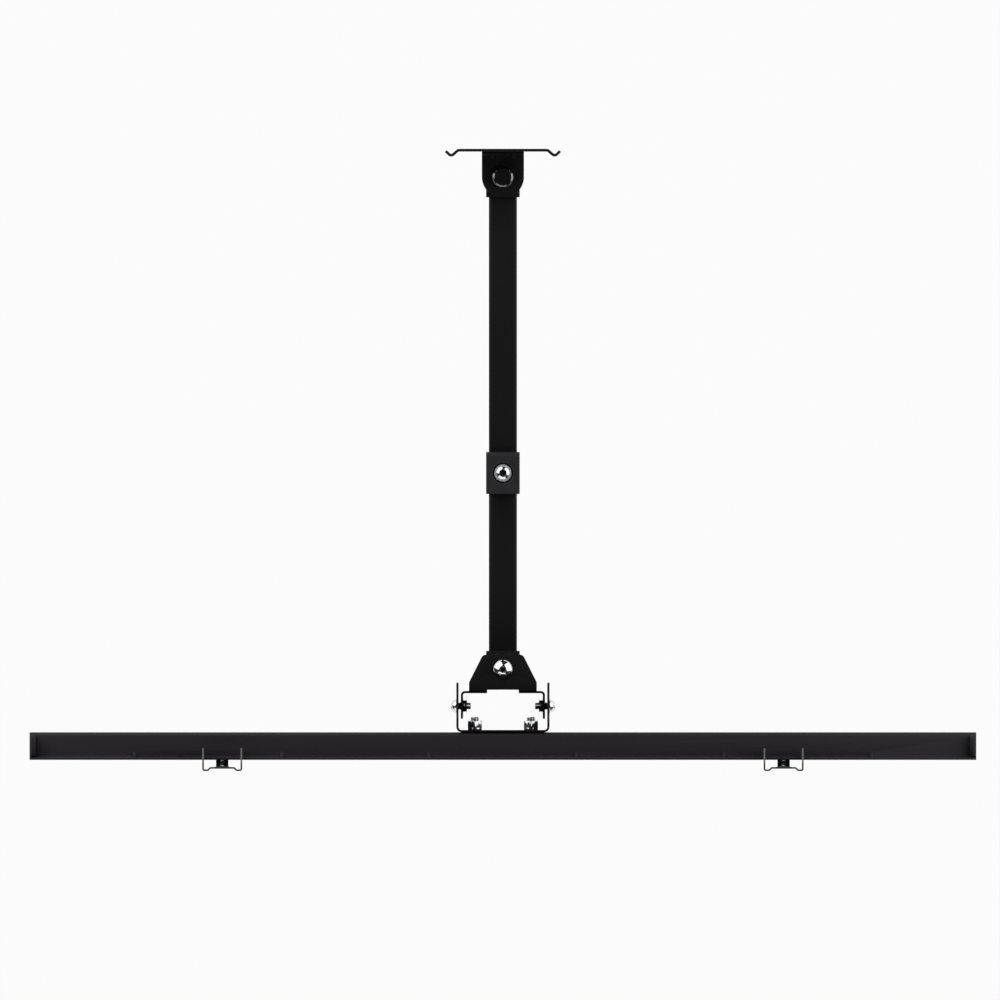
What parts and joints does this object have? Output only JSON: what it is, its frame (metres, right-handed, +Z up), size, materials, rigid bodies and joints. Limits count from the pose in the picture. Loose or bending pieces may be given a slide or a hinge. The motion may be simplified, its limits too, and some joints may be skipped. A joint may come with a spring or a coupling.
{
  "type": "swivel tv wall mount",
  "caption": "Full-motion wall mount for a flat television: wall plate, folding tube arm, swivel and tilt head, levelling rails and hook-on screen brackets.",
  "frame": {"origin": "middle of the wall plate's back face, on the wall", "axes": "+X to the right of someone facing the wall, +Y into the wall, +Z up"},
  "size_m": [0.6746, 0.4434, 0.43],
  "materials": {
    "powder_coat": "fine-textured black powder coat",
    "rail_coat": "smooth satin charcoal powder coat",
    "moulding": "fine-grained charcoal moulding",
    "claw_moulding": "black glass-filled nylon",
    "nylon": "dark grey natural nylon",
    "chrome_plate": "bright chrome plate",
    "bright_zinc": "bright zinc plate",
    "black_zinc": "glossy black zinc plate"
  },
  "bodies": {
    "wall": {"wall_plate": "powder_coat", "upper_hinge_ear": "powder_coat", "lower_hinge_ear": "powder_coat", "wall_pivot_bolt": "black_zinc", "wall_pivot_washer": "bright_zinc", "wall_pivot_nut": "bright_zinc"},
    "rear_arm": {"rear_wall_knuckle": "powder_coat", "rear_upper_tube": "powder_coat", "rear_lower_tube": "powder_coat", "wall_pivot_bushes": "nylon", "elbow_upper_knuckle": "powder_coat", "elbow_lower_knuckle": "powder_coat", "elbow_upper_cap": "moulding", "elbow_lower_cap": "moulding", "elbow_bolt": "chrome_plate", "elbow_nut": "bright_zinc"},
    "front_arm": {"front_elbow_knuckle": "powder_coat", "front_tube": "powder_coat", "front_head_knuckle": "powder_coat", "elbow_bushes": "nylon", "head_pivot_bushes": "nylon"},
    "head": {"head_bracket": "powder_coat", "head_pivot_bolt": "chrome_plate", "head_pivot_nut": "bright_zinc", "tilt_pivot_screws": "chrome_plate", "tilt_lock_screws": "chrome_plate", "tilt_nuts": "black_zinc"},
    "tilter": {"tilt_bracket": "powder_coat"},
    "rails": {"upper_rail": "rail_coat", "lower_rail": "rail_coat", "rail_end_stops": "moulding", "rail_bolts": "bright_zinc", "rail_washers": "bright_zinc", "rail_nuts": "bright_zinc"},
    "left_hanger": {"left_bracket": "rail_coat", "left_lock_screw": "bright_zinc"},
    "left_lock": {"left_claw": "claw_moulding"},
    "right_hanger": {"right_bracket": "rail_coat", "right_lock_screw": "bright_zinc"},
    "right_lock": {"right_claw": "claw_moulding"}
  },
  "joints": [
    {"name": "wall_swivel", "type": "hinge", "parent": "wall", "child": "rear_arm", "pos_m": [0, -0.02, 0], "axis": [0, 0, 1], "range_deg": [-90, 90]},
    {"name": "elbow_fold", "type": "hinge", "parent": "rear_arm", "child": "front_arm", "pos_m": [0, -0.231, 0], "axis": [0, 0, -1], "range_deg": [-130, 130]},
    {"name": "head_swivel", "type": "hinge", "parent": "front_arm", "child": "head", "pos_m": [0, -0.371, 0], "axis": [0, 0, 1], "range_deg": [-80, 80]},
    {"name": "tilt", "type": "hinge", "parent": "head", "child": "tilter", "pos_m": [0, -0.397, 0], "axis": [1, 0, 0], "range_deg": [-15, 15]},
    {"name": "level_roll", "type": "hinge", "parent": "tilter", "child": "rails", "pos_m": [0, -0.4157, 0], "axis": [0, -1, 0], "range_deg": [-3, 3]},
    {"name": "left_bracket_slide", "type": "slide", "parent": "rails", "child": "left_hanger", "axis": [1, 0, 0], "range_m": [-0.1, 0.1]},
    {"name": "right_bracket_slide", "type": "slide", "parent": "rails", "child": "right_hanger", "axis": [1, 0, 0], "range_m": [-0.1, 0.1]},
    {"name": "left_claw_slide", "type": "slide", "parent": "left_hanger", "child": "left_lock", "axis": [0, 0, -1], "range_m": [0, 0.009]},
    {"name": "right_claw_slide", "type": "slide", "parent": "right_hanger", "child": "right_lock", "axis": [0, 0, -1], "range_m": [0, 0.009]}
  ]
}
